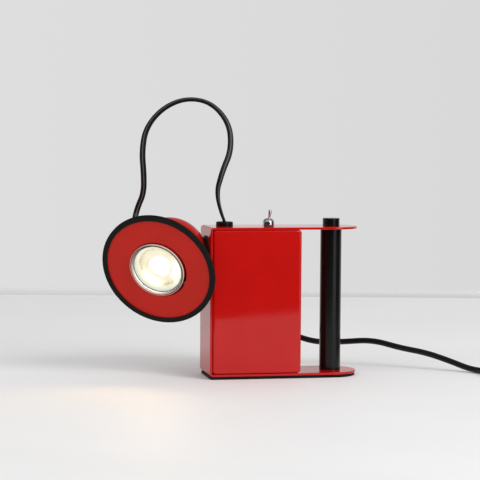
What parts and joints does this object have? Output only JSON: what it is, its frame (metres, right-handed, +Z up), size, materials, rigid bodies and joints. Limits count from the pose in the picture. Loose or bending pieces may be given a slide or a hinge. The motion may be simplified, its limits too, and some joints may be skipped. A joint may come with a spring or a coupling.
{
  "type": "tabletop searchlight lamp",
  "caption": "Tabletop searchlight: a round lamp head with a wide flange held by a magnet on a red sheet steel box with a tube handle, toggle switch and mains lead.",
  "frame": {"origin": "centre of the base pad's outline, on the table", "axes": "+X along the base towards the handle, +Y to the back, +Z up"},
  "size_m": [0.4241, 0.1807, 0.2422],
  "materials": {
    "red_gloss": "glossy stoved enamel",
    "red_satin": "satin enamel",
    "black_rubber": "matt",
    "black_plastic": "semi-gloss moulding",
    "grip_black": "satin",
    "nylon_white": "natural nylon",
    "chrome": "bright plated",
    "zinc_steel": "zinc plated",
    "lamination_steel": "varnished laminations",
    "winding": "taped copper winding",
    "magnet_ferrite": "ground ferrite",
    "lamp_glass": "pressed glass",
    "lamp_lens": "clear moulded lens",
    "emitter_plate": "white coated plate",
    "ceramic": "glazed steatite",
    "brass": "bright",
    "cord_black": "satin sheath",
    "terminal_plastic": "polyamide"
  },
  "bodies": {
    "base": {"wrap_frame": "red_gloss", "base_pad": "black_rubber", "box_case": "red_gloss", "rear_cover": "red_gloss", "cover_screws": "zinc_steel", "case_screw": "chrome", "base_screws": "zinc_steel", "base_nuts": "zinc_steel", "handle_tube": "grip_black", "tube_bushes": "nylon_white", "tie_rod": "zinc_steel", "tube_knob": "grip_black", "top_gland": "black_plastic", "gland_nut": "black_plastic", "switch_body": "black_plastic", "switch_nut": "chrome", "switch_dome_nut": "chrome", "transformer_core": "lamination_steel", "transformer_coil": "winding", "transformer_bracket": "zinc_steel", "terminal_block": "terminal_plastic", "magnet_housing": "black_plastic", "magnet": "magnet_ferrite", "seat_nut": "zinc_steel", "head_cord": "cord_black", "rear_relief": "black_rubber", "mains_cord": "cord_black", "cord_coil": "cord_black", "coil_tie": "black_plastic", "cord_tail": "cord_black", "plug_body": "black_plastic", "plug_pins": "chrome"},
    "seat_ring": {"seat_ring": "black_plastic"},
    "head": {"head_shell": "red_gloss", "flange_disc": "red_satin", "rubber_rim": "black_rubber", "lamp_body": "lamp_glass", "lamp_lens": "lamp_lens", "lamp_module": "emitter_plate", "lamp_foot": "ceramic", "lamp_pins": "zinc_steel", "lamp_holder": "ceramic", "holder_strap": "zinc_steel", "holder_screws": "brass", "head_gland": "black_plastic", "head_gland_nut": "black_plastic"},
    "lever": {"toggle_lever": "chrome"}
  },
  "joints": [
    {"name": "ball_swivel", "type": "hinge", "parent": "base", "child": "seat_ring", "pos_m": [-0.0991, 0, 0.1051], "axis": [1, 0, 0], "range_deg": [-90, 12], "deforming": ["head_cord"]},
    {"name": "ball_tilt", "type": "hinge", "parent": "seat_ring", "child": "head", "pos_m": [-0.0991, 0, 0.1051], "axis": [0, 0.4543, -0.8908], "range_deg": [0, 65], "deforming": ["head_cord"]},
    {"name": "toggle_switch", "type": "hinge", "parent": "base", "child": "lever", "pos_m": [-0.0116, 0, 0.1332], "axis": [0, 1, 0], "range_deg": [-15.6, 0]}
  ]
}
